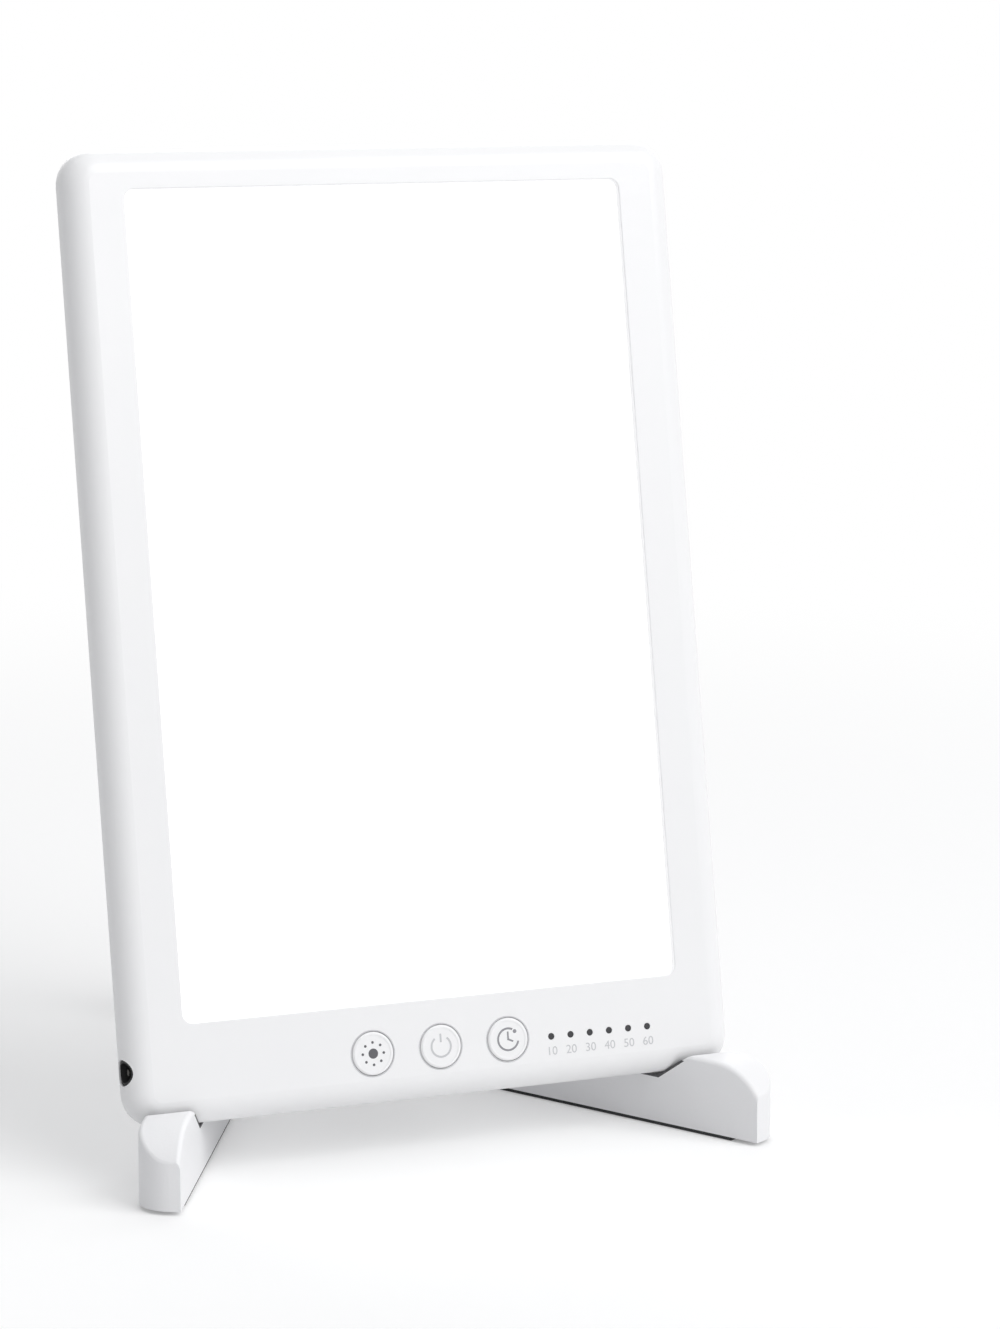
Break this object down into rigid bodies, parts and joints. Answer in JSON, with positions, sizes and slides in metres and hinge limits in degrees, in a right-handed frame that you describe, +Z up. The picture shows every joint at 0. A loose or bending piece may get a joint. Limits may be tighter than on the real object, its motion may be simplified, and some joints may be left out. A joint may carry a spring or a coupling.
{
  "type": "light therapy lamp",
  "caption": "Thin tablet-shaped light therapy lamp with push buttons, standing in the notched legs of a folding stand with a hinged arm and backrest.",
  "frame": {"origin": "on the desk, under the centre of the hub's foot pad", "axes": "+Z up, -Y towards the user, so that the lit face looks to -Y, +X to the right as the user faces the lamp"},
  "size_m": [0.1646, 0.1942, 0.2458],
  "materials": {
    "white_casing": "satin",
    "white_stand": "satin",
    "button_white": "satin",
    "diffuser": "matte",
    "light_guide": "gloss",
    "reflector": "matte",
    "aluminium": "satin",
    "strip_board": "satin",
    "led": "gloss",
    "lead_insulation": "satin",
    "circuit_board": "satin",
    "black_component": "satin",
    "contact_metal": "polished",
    "steel": "satin",
    "grey_plastic": "satin",
    "washer_plastic": "satin",
    "black_rubber": "matte",
    "grey_pad": "matte"
  },
  "bodies": {
    "stand_hub": {"hub_yoke": "white_stand", "hub_foot_pad": "black_rubber", "hub_axle": "steel", "axle_nut": "steel", "left_hub_cap": "grey_plastic", "right_hub_cap": "grey_plastic", "arm_washers": "washer_plastic", "leg_pins": "steel"},
    "lamp_head": {"front_frame": "white_casing", "rear_cover": "white_casing", "diffuser_panel": "diffuser", "light_guide_plate": "light_guide", "reflector_sheet": "reflector", "back_plate": "aluminium", "left_led_strip": "strip_board", "right_led_strip": "strip_board", "left_leds": "led", "right_leds": "led", "led_leads": "lead_insulation", "control_board": "circuit_board", "board_components": "black_component", "tact_switches": "black_component", "indicator_leds": "led", "indicator_light_guide": "light_guide", "dc_jack": "black_component", "dc_jack_pin": "contact_metal", "cover_screws": "steel", "board_screws": "steel"},
    "brightness_button": {"brightness_button": "button_white"},
    "power_button": {"power_button": "button_white"},
    "timer_button": {"timer_button": "button_white"},
    "left_leg": {"left_leg": "white_stand", "left_foot_strip": "black_rubber", "left_notch_pad": "black_rubber"},
    "right_leg": {"right_leg": "white_stand", "right_foot_strip": "black_rubber", "right_notch_pad": "black_rubber"},
    "arm": {"arm": "white_stand"},
    "backrest": {"backrest": "white_stand", "backrest_pad": "grey_pad", "backrest_pin": "steel", "backrest_washers": "washer_plastic"}
  },
  "joints": [
    {"name": "lamp_recline", "type": "hinge", "parent": "stand_hub", "child": "lamp_head", "pos_m": [0, -0.128, 0.0199], "axis": [-1, 0, 0], "range_deg": [0, 20]},
    {"name": "arm_swing", "type": "hinge", "parent": "stand_hub", "child": "arm", "pos_m": [0, 0.022, 0.017], "axis": [-1, 0, 0], "range_deg": [0, 28]},
    {"name": "backrest_swing", "type": "hinge", "parent": "arm", "child": "backrest", "pos_m": [0, -0.09249, 0.04555], "axis": [-1, 0, 0], "range_deg": [0, 50]},
    {"name": "right_leg_swing", "type": "hinge", "parent": "stand_hub", "child": "right_leg", "pos_m": [0.0058, -0.0108, 0.0097], "axis": [0, 0, -1], "range_deg": [0, 27.35]},
    {"name": "left_leg_swing", "type": "hinge", "parent": "stand_hub", "child": "left_leg", "pos_m": [-0.0058, -0.0108, 0.0097], "axis": [0, 0, 1], "range_deg": [0, 27.35]},
    {"name": "brightness_press", "type": "slide", "parent": "lamp_head", "child": "brightness_button", "axis": [0, 0.9826, -0.1857], "range_m": [0, 0.0007], "stiffness_N_per_m": 400, "springref_m": -0.0005},
    {"name": "power_press", "type": "slide", "parent": "lamp_head", "child": "power_button", "axis": [0, 0.9826, -0.1857], "range_m": [0, 0.0007], "stiffness_N_per_m": 400, "springref_m": -0.0005},
    {"name": "timer_press", "type": "slide", "parent": "lamp_head", "child": "timer_button", "axis": [0, 0.9826, -0.1857], "range_m": [0, 0.0007], "stiffness_N_per_m": 400, "springref_m": -0.0005}
  ],
  "couplings": [
    {"joint": "arm_swing", "follows": "lamp_recline", "ratio": 1.4}
  ]
}
